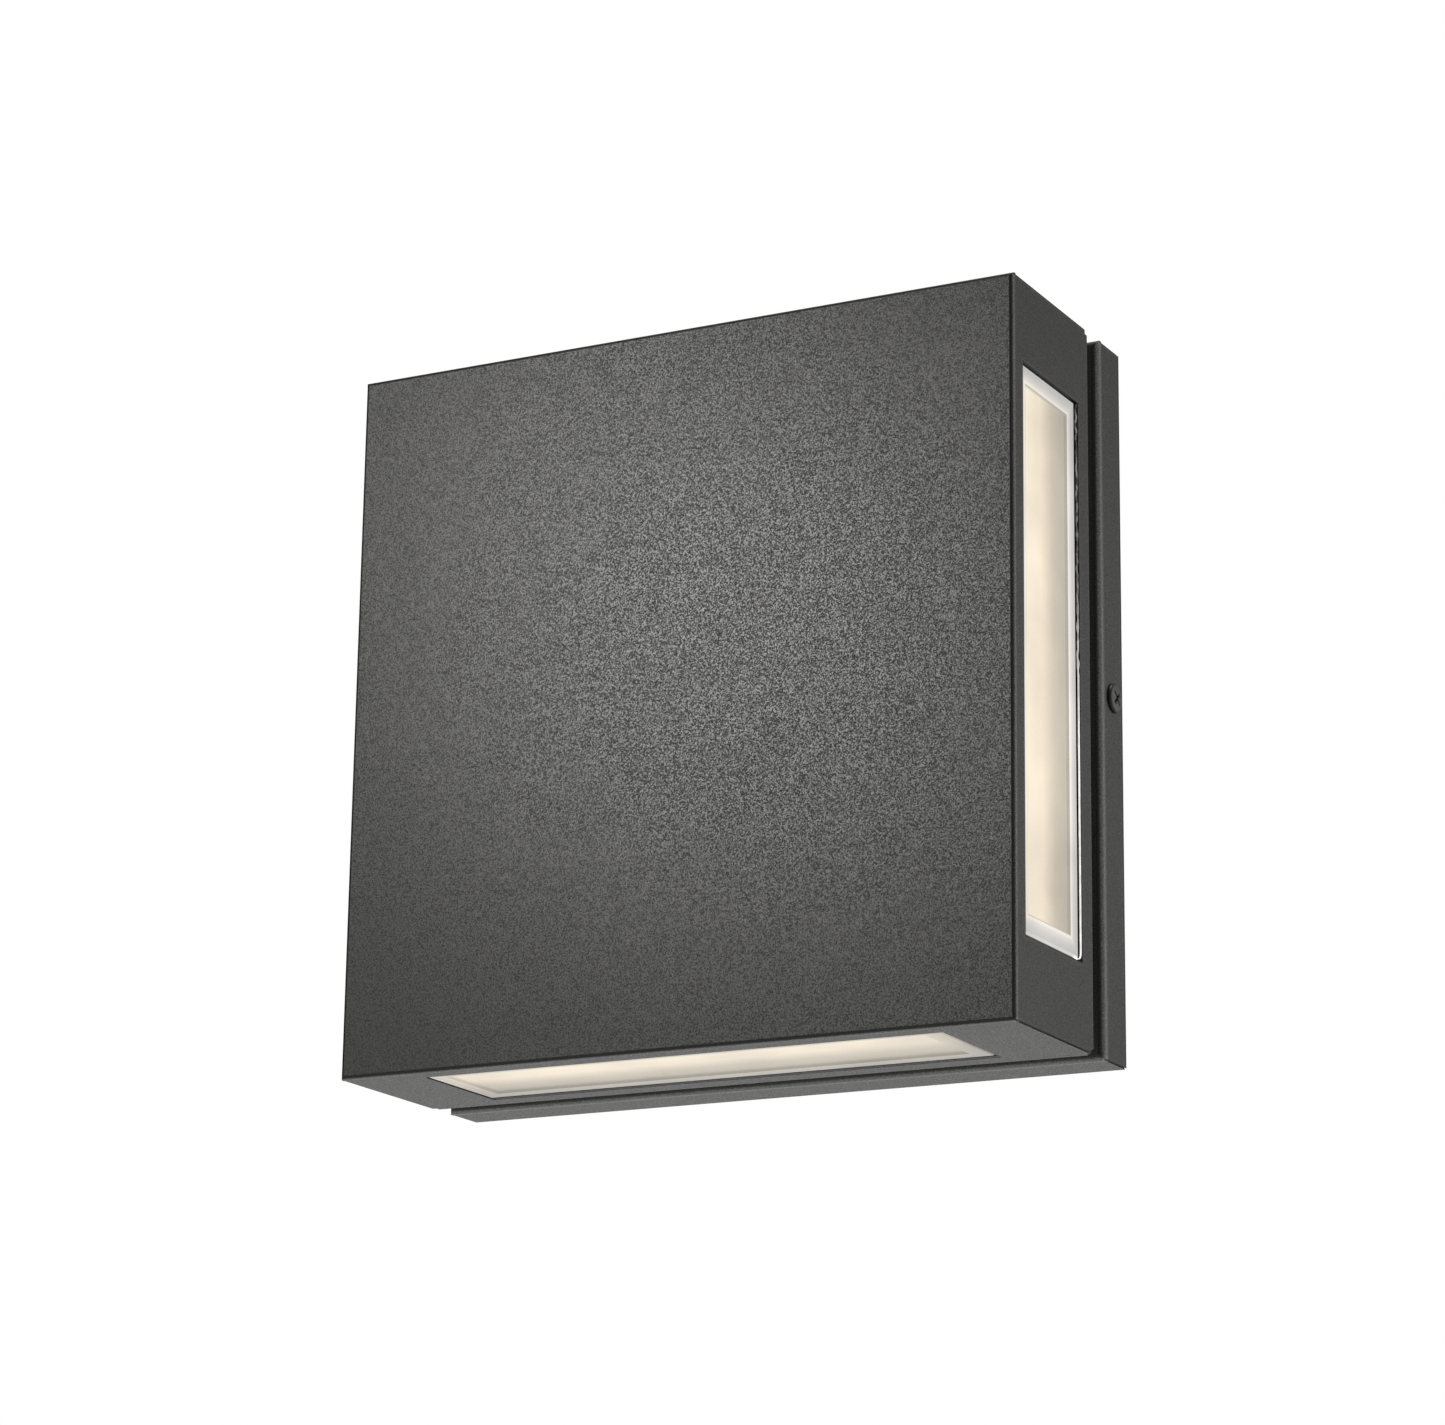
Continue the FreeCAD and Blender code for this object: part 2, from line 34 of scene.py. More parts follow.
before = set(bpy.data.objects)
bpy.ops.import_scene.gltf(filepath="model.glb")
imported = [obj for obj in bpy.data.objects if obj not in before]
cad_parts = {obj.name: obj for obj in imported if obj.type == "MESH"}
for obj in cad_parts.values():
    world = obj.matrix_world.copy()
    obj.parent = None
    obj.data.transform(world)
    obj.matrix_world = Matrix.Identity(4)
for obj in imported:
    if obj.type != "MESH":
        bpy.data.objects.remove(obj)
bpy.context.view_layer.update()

MM = 0.001
FIXTURE = "fixture"
SIDE_TURNS = {"right": 0, "bottom": 90, "left": 180, "top": 270}
UPRIGHT_SIDES = ("right", "left")

# Places read from the CAD nodes
BODY_LOW, BODY_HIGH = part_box("housing_shell")
PAN_LOW, PAN_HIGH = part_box("back_pan")
PANE_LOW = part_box("window_pane_right")[0]
SEAL_LOW, SEAL_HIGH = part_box("pane_seal_right")
SCREW_LOW, SCREW_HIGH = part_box("side_screw_right")
HALF = BODY_HIGH.x
FLANGE_FRONT_X = SEAL_LOW.x
FLANGE_BACK_X = PANE_LOW.x
SCREW_Y = (SCREW_LOW.y + SCREW_HIGH.y) / 2
HEAD_HEIGHT = SCREW_HIGH.x - HALF
SHANK_LENGTH = HALF - SCREW_LOW.x

# Windows, panes and the sealant in the channel behind each pane
SHEET = 1.5 * MM
WINDOW_Y = (BODY_LOW.y + 6.4 * MM, BODY_HIGH.y - 6.8 * MM)
WINDOW_HALF = 78.0 * MM
PANE_CLEARANCE = 0.4 * MM
PANE_REAR_CHANNEL = 2.8 * MM
PANE_Y = (WINDOW_Y[0] + PANE_CLEARANCE, WINDOW_Y[1] - PANE_REAR_CHANNEL)
PANE_HALF = WINDOW_HALF - 2 * PANE_CLEARANCE
PANE_EDGE_ROUND = 0.4 * MM
RIM_WIDTH = 5.0 * MM
RIM_FRONT_WIDTH = 1.2 * MM
RIM_SLOPE = 0.6 * MM
PANEL_RECESS = 0.6 * MM
BEAD_HOOK = 5.0 * MM
BEAD_CORNER = 2.0 * MM
BEAD_RADIUS = 0.26 * MM
BEAD_DEPTH = 0.29 * MM
BEAD_GAP = 0.22 * MM
BEAD_STREAKED_ABOVE = 30 * MM
BEAD_CLEAN_BELOW = -20 * MM
BEAD_SWAY = 0.5 * MM
LUMP_SPACING = 2.6 * MM
SWAY_SPACING = 4.1 * MM

# Side screws
SHANK_RADIUS = 2.0 * MM
SHANK_POINT = 0.35 * MM
HEAD_RADIUS = 4.05 * MM
THREAD_PITCH = 0.7 * MM
THREAD_DEPTH = 0.28 * MM
RECESS_REACH = 2.5 * MM
RECESS_ARM = 0.42 * MM
RECESS_WALL = 0.22 * MM
RECESS_DEPTH = 0.95 * MM

# Powder coat. Its colour is lifted, then multiplied by TINT_COUNT tints, so that PLAIN_TINT leaves
# it as it is, a darker tint paints shade on it and a lighter one paints a highlight on it.
PLAIN_TINT = (0.25, 0.25, 0.25)
TINT_COUNT = 4
BEND_REACH = 6.0 * MM
EDGE_REACH = 2.0 * MM
GRAIN_SIZE = 0.39 * MM
FRONT_GRAIN_AND_GLINT_CONTRAST = 1.7
PLAIN_CONTRAST = 0.8

# Light of the panes: brightness of the rim and of the panel, and how deep the lit face is
PANE_GLOW = {"right": (1.0, 1.0), "left": (1.0, 1.0), "bottom": (0.60, 0.78), "top": (0.60, 0.78)}
FACE_DEPTH = (1.4 * MM, 0.9 * MM)
END_FADE = 45 * MM

# Camera at the photograph's viewing angle, from the front right and below
CAMERA_PLACE = (0.5433, -1.0640, -0.3211)
CAMERA_TURN = (105.464, -0.779, 27.790)
CAMERA_LENS = 108.25
SENSOR_WIDTH = 36.0

# Studio
LAMP_COLOUR = (1.0, 0.995, 0.975)
FLOOR_HEIGHT = -1.6
FLOOR_HALF = 12.0


# ---------------------------------------------------------------- materials

class Paint:
    """A material and the few kinds of node that this script puts in front of its shader."""

    def __init__(self, name, **constants):
        self.material = bpy.data.materials.new(name)
        self.material.use_nodes = True
        self.nodes = self.material.node_tree.nodes
        self.links = self.material.node_tree.links
        self.shader = self.nodes["Principled BSDF"]
        self.place = self.nodes.new("ShaderNodeTexCoord").outputs["Object"]
        for socket, value in constants.items():
            self.shader.inputs[socket.replace("_", " ")].default_value = value

    def link(self, output, socket):
        """Links an output to one of the shader's sockets."""
        self.links.new(output, self.shader.inputs[socket])

    def stretched(self, scale):
        """The object coordinates, scaled by a different amount along each axis."""
        mapping = self.nodes.new("ShaderNodeMapping")
        mapping.inputs["Scale"].default_value = scale
        self.links.new(self.place, mapping.inputs["Vector"])
        return mapping.outputs["Vector"]

    def noise(self, size, detail=2.0, place=None):
        """Smooth noise whose features are about this size in metres."""
        node = self.nodes.new("ShaderNodeTexNoise")
        node.inputs["Scale"].default_value = 1.0 / size
        node.inputs["Detail"].default_value = detail
        self.links.new(place or self.place, node.inputs["Vector"])
        return node.outputs["Fac"]

    def cells(self, size):
        """Distance to the nearest of many scattered points, about this far apart."""
        node = self.nodes.new("ShaderNodeTexVoronoi")
        node.inputs["Scale"].default_value = 1.0 / size
        self.links.new(self.place, node.inputs["Vector"])
        return node.outputs["Distance"]

    def axis(self, name):
        """One of the object coordinates: X, Y or Z."""
        node = self.nodes.new("ShaderNodeSeparateXYZ")
        self.links.new(self.place, node.inputs["Vector"])
        return node.outputs[name]

    def math(self, operation, *values):
        """A math node on values that are each an output or a plain number."""
        node = self.nodes.new("ShaderNodeMath")
        node.operation = operation
        for socket, value in zip(node.inputs, values):
            if isinstance(value, (int, float)):
                socket.default_value = value
            else:
                self.links.new(value, socket)
        return node.outputs["Value"]

    def spread(self, value, low, high, new_low=0.0, new_high=1.0):
        """Maps low..high to new_low..new_high, clamped."""
        node = self.nodes.new("ShaderNodeMapRange")
        limits = {"From Min": low, "From Max": high, "To Min": new_low, "To Max": new_high}
        for socket, number in limits.items():
            node.inputs[socket].default_value = number
        self.links.new(value, node.inputs["Value"])
        return node.outputs["Result"]

    def ramp(self, value, *stops):
        """A colour ramp from (place, colour) stops."""
        node = self.nodes.new("ShaderNodeValToRGB")
        elements = node.color_ramp.elements
        while len(elements) < len(stops):
            elements.new(0.5)
        for element, (place, colour) in zip(elements, stops):
            element.position = place
            element.color = (*colour, 1.0)
        self.links.new(value, node.inputs["Fac"])
        return node.outputs["Color"]

    def mix(self, factor, first, second, blend="MIX"):
        """Mixes two colours by a factor. Each of the three is an output or a plain value."""
        factor_socket, first_socket, second_socket, colour_result = 0, 6, 7, 2
        node = self.nodes.new("ShaderNodeMix")
        node.data_type = "RGBA"
        node.blend_type = blend
        for index, value in ((factor_socket, factor), (first_socket, first), (second_socket, second)):
            if isinstance(value, bpy.types.NodeSocket):
                self.links.new(value, node.inputs[index])
            elif index == factor_socket:
                node.inputs[index].default_value = value
            else:
                node.inputs[index].default_value = (*value, 1.0)
        return node.outputs[colour_result]

    def bump(self, *layers):
        """Bumps on each other, from (height output, strength, depth in metres) layers."""
        normal = None
        for height, strength, depth in layers:
            node = self.nodes.new("ShaderNodeBump")
            node.inputs["Strength"].default_value = strength
            node.inputs["Distance"].default_value = depth
            self.links.new(height, node.inputs["Height"])
            if normal:
                self.links.new(normal, node.inputs["Normal"])
            normal = node.outputs["Normal"]
        self.link(normal, "Normal")


def grey(level):
    """A colour with the same level in all three parts."""
    return (level, level, level)


def edge_tint(paint, front, bend_stops, rear, rear_stops):
    """Three tints in one, of painted shade and painted highlights: over the front bend, along the corner
    edges and at the rear edge.

    The stops give the tint across the bend's reach and up to the rear edge.
    """
    depth = paint.axis("Y")
    over_bend = paint.ramp(paint.spread(depth, front, front + BEND_REACH), *bend_stops)
    # Along the corner edges: a dark line, partly the joint of the folded sheet and partly painted shade
    # on the rounded edge, with a painted highlight beside it.
    from_side = [paint.math("SUBTRACT", HALF, paint.math("ABSOLUTE", paint.axis(name)))
                 for name in ("X", "Z")]
    joint_shade_and_highlight = paint.ramp(paint.spread(paint.math("ADD", *from_side), 0.0, EDGE_REACH),
                      (0.25, grey(0.02)), (0.32, grey(0.35)), (0.50, grey(0.35)), (0.65, PLAIN_TINT))
    at_rear = paint.ramp(paint.spread(depth, rear - EDGE_REACH, rear), *rear_stops)
    return paint.mix(1.0, paint.mix(1.0, over_bend, joint_shade_and_highlight, "MULTIPLY"), at_rear, "MULTIPLY")


def window_edge_shade_and_highlight(paint):
    """Tint with painted shade on the cut edges of the windows and a painted highlight on the sheet just
    outside them.
    """
    middle = (WINDOW_Y[0] + WINDOW_Y[1]) / 2
    half_width = (WINDOW_Y[1] - WINDOW_Y[0]) / 2
    along = paint.math("MINIMUM", *[paint.math("ABSOLUTE", paint.axis(name)) for name in ("X", "Z")])
    past_end = paint.math("SUBTRACT", along, WINDOW_HALF)
    from_middle = paint.math("ABSOLUTE", paint.math("SUBTRACT", paint.axis("Y"), middle))
    past_side = paint.math("SUBTRACT", from_middle, half_width)
    outside = paint.spread(paint.math("MAXIMUM", past_end, past_side), 0.0, EDGE_REACH)
    return paint.ramp(outside, (0.14, grey(0.02)), (0.20, grey(0.40)),
                      (0.45, grey(0.34)), (0.60, PLAIN_TINT))


def powder_coat(name, front, bend_stops, rear, rear_stops):
    """Black powder coat, uneven in colour and gloss, with painted shade and highlights along its edges
    and a grain whose raised contrast on the front face paints glints of the key light there.
    """
    paint = Paint(name, Specular_IOR_Level=0.5)
    # The grain's contrast is raised on the front face: painted glints of the key light there.
    contrast = paint.spread(paint.axis("Y"), front, front + 1.0 * MM, FRONT_GRAIN_AND_GLINT_CONTRAST, PLAIN_CONTRAST)
    level = paint.math("SUBTRACT", 0.5, paint.math("MULTIPLY", contrast, 0.5))
    grain = paint.math("MULTIPLY_ADD", paint.noise(GRAIN_SIZE, 1.5), contrast, level)
    cloud = paint.noise(55 * MM, 2.0)
    colour = paint.ramp(grain, (0.20, (0.014, 0.014, 0.0133)), (0.50, (0.040, 0.040, 0.0385)),
                        (0.80, (0.080, 0.080, 0.076)))
    cloudy = paint.mix(1.0, colour, paint.ramp(cloud, (0.3, grey(0.90)), (0.7, grey(1.0))), "MULTIPLY")
    edges = edge_tint(paint, front, bend_stops, rear, rear_stops)
    tint = paint.mix(1.0, edges, window_edge_shade_and_highlight(paint), "MULTIPLY")
    lifted = paint.mix(1.0, cloudy, grey(PLAIN_TINT[0] ** -TINT_COUNT), "MULTIPLY")
    paint.link(paint.mix(1.0, lifted, tint, "MULTIPLY"), "Base Color")
    paint.link(paint.spread(grain, 0.26, 0.74, 0.70, 0.28), "Roughness")
    paint.bump((grain, 0.5, 0.04 * MM), (cloud, 0.3, 0.5 * MM))
    return paint.material


def lit_pane(side):
    """Frosted acrylic lit from behind: a warm panel, brightest near its front edge, in a whiter rim.

    The flange behind the sheet gets no emission and a near-black colour, which is painted shade in the
    dark channel round the pane.
    """
    paint = Paint("frosted_acrylic_" + side, Roughness=0.42, Specular_IOR_Level=0.35)
    along = paint.axis("Z" if side in UPRIGHT_SIDES else "X")
    depth = paint.axis("Y")
    front, rear = PANE_Y
    across = paint.spread(depth, front, rear)
    glow = paint.ramp(across, (0.08, (0.86, 0.76, 0.59)), (0.36, (0.80, 0.68, 0.52)),
                      (0.60, (0.50, 0.43, 0.33)), (0.84, (0.37, 0.33, 0.26)))
    from_end = paint.math("SUBTRACT", PANE_HALF, paint.math("ABSOLUTE", along))
    from_front = paint.math("ADD", paint.math("SUBTRACT", depth, front), RIM_WIDTH - RIM_FRONT_WIDTH)
    from_rear = paint.math("SUBTRACT", rear, depth)
    inset = paint.math("MINIMUM", from_end, paint.math("MINIMUM", from_front, from_rear))
    inside = paint.spread(inset, RIM_WIDTH, RIM_WIDTH + RIM_SLOPE)
    rim_glow = paint.ramp(paint.spread(inset, 0.0, RIM_WIDTH),
                          (0.00, (0.66, 0.65, 0.64)), (0.10, (0.44, 0.43, 0.42)),
                          (0.45, (0.52, 0.50, 0.48)), (0.75, (0.66, 0.63, 0.58)),
                          (0.88, (0.82, 0.77, 0.69)), (0.95, (0.80, 0.74, 0.66)),
                          (1.00, (0.34, 0.31, 0.27)))
    out = paint.math("ABSOLUTE", paint.axis("X" if side in UPRIGHT_SIDES else "Z"))
    face = paint.spread(out, HALF - FACE_DEPTH[0], HALF - FACE_DEPTH[1])
    cloud = paint.spread(paint.noise(24 * MM, 2.0), 0.3, 0.7, 0.86, 1.08)
    fading = paint.spread(from_end, RIM_WIDTH, END_FADE, 0.90, 1.0)
    share = paint.spread(inside, 0.0, 1.0, *PANE_GLOW[side])
    if side not in UPRIGHT_SIDES:
        rim_glow = paint.mix(0.7, rim_glow, glow)
    paint.link(paint.mix(inside, rim_glow, glow), "Emission Color")
    even = paint.math("MULTIPLY", face, share)
    paint.link(paint.math("MULTIPLY", even, paint.math("MULTIPLY", cloud, fading)), "Emission Strength")
    frost = paint.ramp(paint.noise(0.4 * MM), (0.3, (0.20, 0.195, 0.185)), (0.7, (0.26, 0.255, 0.245)))
    # Near-black where the flange sits behind the sheet: painted shade in the channel round the pane.
    paint.link(paint.mix(face, grey(0.012), frost), "Base Color")
    paint.bump((paint.noise(0.5 * MM), 0.10, 0.03 * MM))
    return paint.material


def silicone(side):
    """White sealant, shiny and streaked, with a painted glow that makes it look lit by the lamp,
    strongest on its clean lower half on the upright sides.
    """
    paint = Paint("white_silicone_" + side, Specular_IOR_Level=0.55)
    colour = paint.ramp(paint.noise(3 * MM), (0.3, (0.62, 0.61, 0.58)), (0.7, (0.82, 0.81, 0.78)))
    if side in UPRIGHT_SIDES:
        lower = paint.spread(paint.axis("Z"), BEAD_STREAKED_ABOVE, BEAD_CLEAN_BELOW)
        streaks = paint.ramp(paint.noise(2.4 * MM), (0.42, grey(0.04)), (0.58, grey(0.60)))
    else:
        lower = 0.0
        streaks = grey(0.15)
    paint.link(paint.mix(lower, paint.mix(1.0, colour, streaks, "MULTIPLY"), colour), "Base Color")
    # Painted glow: emission makes the sealant look lit by the lamp, faintly all over and strongly on the
    # clean lower half of the upright sides.
    paint.link(colour, "Emission Color")
    paint.link(paint.math("MULTIPLY_ADD", lower, 0.82, 0.03), "Emission Strength")
    paint.link(paint.spread(paint.noise(2 * MM), 0.3, 0.7, 0.22, 0.42), "Roughness")
    paint.bump((paint.noise(1.2 * MM), 0.25, 0.12 * MM))
    return paint.material


def rolled_metal(name, dark, light):
    """Sheet or turned metal with fine marks from rolling."""
    paint = Paint(name, Metallic=1.0)
    marks = paint.noise(0.6 * MM, 3.0, paint.stretched((0.06, 1.0, 1.0)))
    paint.link(paint.mix(paint.noise(14 * MM), dark, light), "Base Color")
    paint.link(paint.spread(marks, 0.3, 0.7, 0.26, 0.44), "Roughness")
    paint.bump((marks, 0.12, 0.02 * MM))
    return paint.material


def black_oxide():
    """Blackened steel screw, grey on the crown of its head and near-black below it, which is painted
    shade on the head's rim and sides.
    """
    paint = Paint("blackened_screw", Specular_IOR_Level=0.5)
    crown_colour = paint.ramp(paint.noise(0.8 * MM, 3.0), (0.3, grey(0.055)), (0.75, grey(0.120)))
    out = paint.math("ABSOLUTE", paint.axis("X"))
    crown = paint.spread(out, HALF + 0.60 * HEAD_HEIGHT, HALF + 0.85 * HEAD_HEIGHT)
    # Near-black below the crown: painted shade on the rim and sides of the head.
    paint.link(paint.mix(crown, grey(0.004), crown_colour), "Base Color")
    paint.link(paint.spread(paint.noise(0.5 * MM), 0.3, 0.7, 0.42, 0.56), "Roughness")
    paint.bump((paint.noise(0.3 * MM), 0.15, 0.02 * MM))
    return paint.material


def moulded(name, dark, light, low_gloss, high_gloss, grain=0.4 * MM):
    """Moulded plastic, enamel or solder mask with a slight grain."""
    paint = Paint(name)
    paint.link(paint.ramp(paint.noise(9 * MM, 3.0), (0.3, dark), (0.7, light)), "Base Color")
    paint.link(paint.spread(paint.noise(grain), 0.3, 0.7, low_gloss, high_gloss), "Roughness")
    paint.bump((paint.noise(grain), 0.12, 0.03 * MM))
    return paint.material


def foam():
    """Closed-cell foam, pitted all over."""
    paint = Paint("foam_rubber", Roughness=0.9)
    pits = paint.cells(0.9 * MM)
    # Darker in the pits: painted shade in the hollows of the foam.
    paint.link(paint.ramp(pits, (0.0, grey(0.008)), (0.6, grey(0.035))), "Base Color")
    paint.bump((pits, 0.7, 0.25 * MM))
    return paint.material


def phosphor():
    """Yellow phosphor of the light sources, lit."""
    paint = Paint("phosphor", Roughness=0.5, Emission_Strength=3.0)
    colour = paint.ramp(paint.noise(0.5 * MM), (0.3, (0.95, 0.72, 0.22)), (0.7, (1.0, 0.82, 0.34)))
    paint.link(colour, "Base Color")
    paint.link(colour, "Emission Color")
    return paint.material


# ---------------------------------------------------------------- mesh work

def add_piece(name, shape, material, body, replaced):
    """Turns a bmesh into a smooth-shaded piece that rides on a body and stands for a CAD node."""
    bmesh.ops.recalc_face_normals(shape, faces=shape.faces)
    mesh = bpy.data.meshes.new(name)
    shape.to_mesh(mesh)
    shape.free()
    mesh.materials.append(material)
    piece = bpy.data.objects.new(name, mesh)
    bpy.context.scene.collection.objects.link(piece)
    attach(piece, body)
    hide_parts(replaced)


def shade_by_angle(shape, angle=30.0):
    """Smooth faces, with sharp edges where they meet at more than this angle."""
    for face in shape.faces:
        face.smooth = True
    for edge in shape.edges:
        edge.smooth = len(edge.link_faces) == 2 and edge.calc_face_angle(0.0) < math.radians(angle)


def rectangle(shape, x, y, half):
    """Four corners in the plane at x, from y[0] to y[1] and from -half to half along Z."""
    return [shape.verts.new((x, depth, height)) for depth, height in
            ((y[0], -half), (y[1], -half), (y[1], half), (y[0], half))]


def bridge(shape, first, second):
    """Quads between two closed loops with the same number of points."""
    count = len(first)
    for index in range(count):
        after = (index + 1) % count
        shape.faces.new((first[index], first[after], second[after], second[index]))


def skin(shape, loops):
    """A closed surface over a row of loops: quads between them and a face at each end."""
    for first, second in zip(loops, loops[1:]):
        bridge(shape, first, second)
    shape.faces.new(loops[0])
    shape.faces.new(loops[-1])


def turn_to(shape, side):
    """Turns a shape made for the right side to another side of the light."""
    turn = Matrix.Rotation(math.radians(SIDE_TURNS[side]), 4, "Y")
    bmesh.ops.transform(shape, matrix=turn, verts=shape.verts)


def add_pane(side):
    """A moulded pane: a flange behind the sheet, a rim with a rounded edge and a recessed panel."""
    shape = bmesh.new()
    flange_y = (SEAL_LOW.y, SEAL_HIGH.y)
    loops = [rectangle(shape, FLANGE_BACK_X, flange_y, SEAL_HIGH.z),
             rectangle(shape, FLANGE_FRONT_X, flange_y, SEAL_HIGH.z)]

    def add_loop(inset, sunk, front_inset=None):
        y = (PANE_Y[0] + (inset if front_inset is None else front_inset), PANE_Y[1] - inset)
        loops.append(rectangle(shape, HALF - sunk, y, PANE_HALF - inset))

    add_loop(0.0, HALF - FLANGE_FRONT_X)
    for step in range(4):
        angle = step * math.pi / 6
        add_loop(PANE_EDGE_ROUND * (1 - math.cos(angle)), PANE_EDGE_ROUND * (1 - math.sin(angle)))
    add_loop(RIM_WIDTH, 0.0, RIM_FRONT_WIDTH)
    add_loop(RIM_WIDTH + RIM_SLOPE, PANEL_RECESS, RIM_FRONT_WIDTH + RIM_SLOPE)
    skin(shape, loops)
    turn_to(shape, side)
    shade_by_angle(shape)
    add_piece("pane_" + side, shape, lit_pane(side), FIXTURE, "window_pane_" + side)


def bead_route():
    """The middle of the sealant bead: a short hook under the pane, then up the rear channel."""
    rear = WINDOW_Y[1] - BEAD_GAP - BEAD_RADIUS
    end = WINDOW_HALF - BEAD_GAP - BEAD_RADIUS
    corner = BEAD_CORNER
    steps = 6
    points = [(rear - BEAD_HOOK + (BEAD_HOOK - corner) * step / steps, -end) for step in range(steps)]
    points += [(rear - corner + corner * math.sin(turn), -end + corner - corner * math.cos(turn))
               for turn in (step / steps * math.pi / 2 for step in range(steps + 1))]
    rows = 260
    rise = 2 * end - corner
    points += [(rear, -end + corner + rise * row / rows) for row in range(1, rows + 1)]
    return points


def add_sealant(side, seed):
    """Sealant under the pane's flange, and an uneven bead in the channel behind the pane."""
    shape = bmesh.new()
    outer = (SEAL_LOW.y, SEAL_HIGH.y)
    inside_sheet = HALF - SHEET
    ring = [rectangle(shape, FLANGE_FRONT_X, outer, SEAL_HIGH.z),
            rectangle(shape, inside_sheet, outer, SEAL_HIGH.z),
            rectangle(shape, inside_sheet, WINDOW_Y, WINDOW_HALF),
            rectangle(shape, FLANGE_FRONT_X, WINDOW_Y, WINDOW_HALF)]
    for first, second in zip(ring, ring[1:] + ring[:1]):
        bridge(shape, first, second)
    around = 10
    # The left side is the right one turned over, so its bead is built upside down.
    upright = -1 if side == "left" else 1
    loops = []
    for depth, height in bead_route():
        lumps = 1.0 if side in UPRIGHT_SIDES and height > 0 else 0.10
        size = 1.0 + 0.8 * lumps * noise.noise(Vector((seed, height / LUMP_SPACING, 0.0)))
        sway = BEAD_SWAY * lumps * noise.noise(Vector((seed, height / SWAY_SPACING, 7.0)))
        radius = BEAD_RADIUS * size
        middle = HALF - BEAD_DEPTH - 0.5 * abs(sway)
        loops.append([shape.verts.new((middle + radius * math.cos(turn),
                                       depth - abs(sway) + radius * math.sin(turn), upright * height))
                      for turn in (2 * math.pi * step / around for step in range(around))])
    skin(shape, loops)
    turn_to(shape, side)
    shade_by_angle(shape, 50.0)
    add_piece("sealant_" + side, shape, silicone(side), FIXTURE, "pane_seal_" + side)


def recess_depth(y, z):
    """Depth of the cross recess below the crown at this place on a screw's head."""
    along, across = sorted((abs(y + z) / math.sqrt(2), abs(y - z) / math.sqrt(2)), reverse=True)
    in_arm = min(1.0, max(0.0, (RECESS_ARM - across) / RECESS_WALL + 0.5))
    in_reach = min(1.0, max(0.0, (RECESS_REACH - along) / (4 * RECESS_WALL)))
    return RECESS_DEPTH * in_arm * in_reach


def head_profile():
    """(distance out, radius) points of the head, from under its rim to near the middle of the crown."""
    rim = HEAD_RADIUS
    wall = 0.35 * HEAD_HEIGHT
    corner = 0.65 * HEAD_HEIGHT
    shoulder = 0.86
    points = [(0.0, SHANK_RADIUS), (0.0, rim - 0.15 * MM), (0.12 * MM, rim), (wall, rim)]
    steps = 8
    for step in range(1, steps + 1):
        angle = step / steps * math.pi / 2
        out = wall + corner * math.sin(angle) * shoulder
        points.append((out, rim - corner * (1 - math.cos(angle))))
    flat = rim - corner
    rows = 26
    for row in range(1, rows):
        radius = flat * (1 - row / rows)
        bulge = 1 - (radius / flat) ** 2
        points.append((wall + corner * (shoulder + (1 - shoulder) * bulge), radius))
    return points


def thread_loops(shape, turns):
    """Loops of points along the threaded shank, from its tip to under the head."""
    loops = []
    rows_per_pitch = 8
    fade_rows = 6
    point_rows = 5
    rows = int(SHANK_LENGTH / THREAD_PITCH * rows_per_pitch)
    for row in range(rows + 1):
        out = -SHANK_LENGTH + SHANK_LENGTH * row / rows
        fade = min(1.0, row / fade_rows, (rows - row) / fade_rows)
        point = SHANK_POINT * max(0.0, 1 - row / point_rows)
        loop = []
        for turn in turns:
            phase = (out / THREAD_PITCH - turn / (2 * math.pi)) % 1.0
            groove = THREAD_DEPTH * abs(2 * phase - 1) * fade
            radius = SHANK_RADIUS - groove - point
            loop.append(shape.verts.new((out, radius * math.cos(turn), radius * math.sin(turn))))
        loops.append(loop)
    return loops


def head_loops(shape, turns):
    """Loops of points over the head, from its underside to near the middle of the crown."""
    loops = []
    for out, radius in head_profile():
        loop = []
        for turn in turns:
            y, z = radius * math.cos(turn), radius * math.sin(turn)
            sunk = recess_depth(y, z) if out > 0.5 * HEAD_HEIGHT else 0.0
            loop.append(shape.verts.new((out - sunk, y, z)))
        loops.append(loop)
    return loops


def add_side_screw(side, material):
    """A round head screw with a cross recess and a rolled thread, pointing out of the pan's side."""
    shape = bmesh.new()
    around = 96
    turns = [2 * math.pi * step / around for step in range(around)]
    loops = thread_loops(shape, turns) + head_loops(shape, turns)
    skin(shape, loops)
    shade_by_angle(shape, 40.0)
    place = Matrix.Translation((HALF, SCREW_Y, 0.0))
    bmesh.ops.transform(shape, matrix=place, verts=shape.verts)
    turn_to(shape, side)
    name = "side_screw_" + side
    add_piece("screw_" + side, shape, material, name, name)


# ---------------------------------------------------------------- carried-over CAD nodes

def dress(material, *names):
    """Gives a material to CAD nodes, whose shapes stay as they are."""
    for name in names:
        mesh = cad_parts[name].data
        mesh.materials.clear()
        mesh.materials.append(material)


def all_sides(prefix):
    """Names of the four nodes that the light has one of on each side."""
    return [prefix + "_" + side for side in SIDE_TURNS]


# Tints across the front bends and at the rear edges, as (share of the reach, tint) stops.
# Over the front bends they paint a dark line of painted shade, then a painted highlight.
BODY_BEND_STOPS = ((0.000, PLAIN_TINT), (0.004, grey(0.01)), (0.055, grey(0.01)), (0.100, grey(1.00)),
                   (0.170, grey(0.90)), (0.270, grey(0.30)), (0.400, PLAIN_TINT))
PAN_BEND_STOPS = ((0.000, PLAIN_TINT), (0.004, grey(0.06)), (0.050, grey(0.10)), (0.120, grey(0.90)),
                  (0.330, grey(1.00)), (0.520, grey(0.34)), (0.600, PLAIN_TINT))
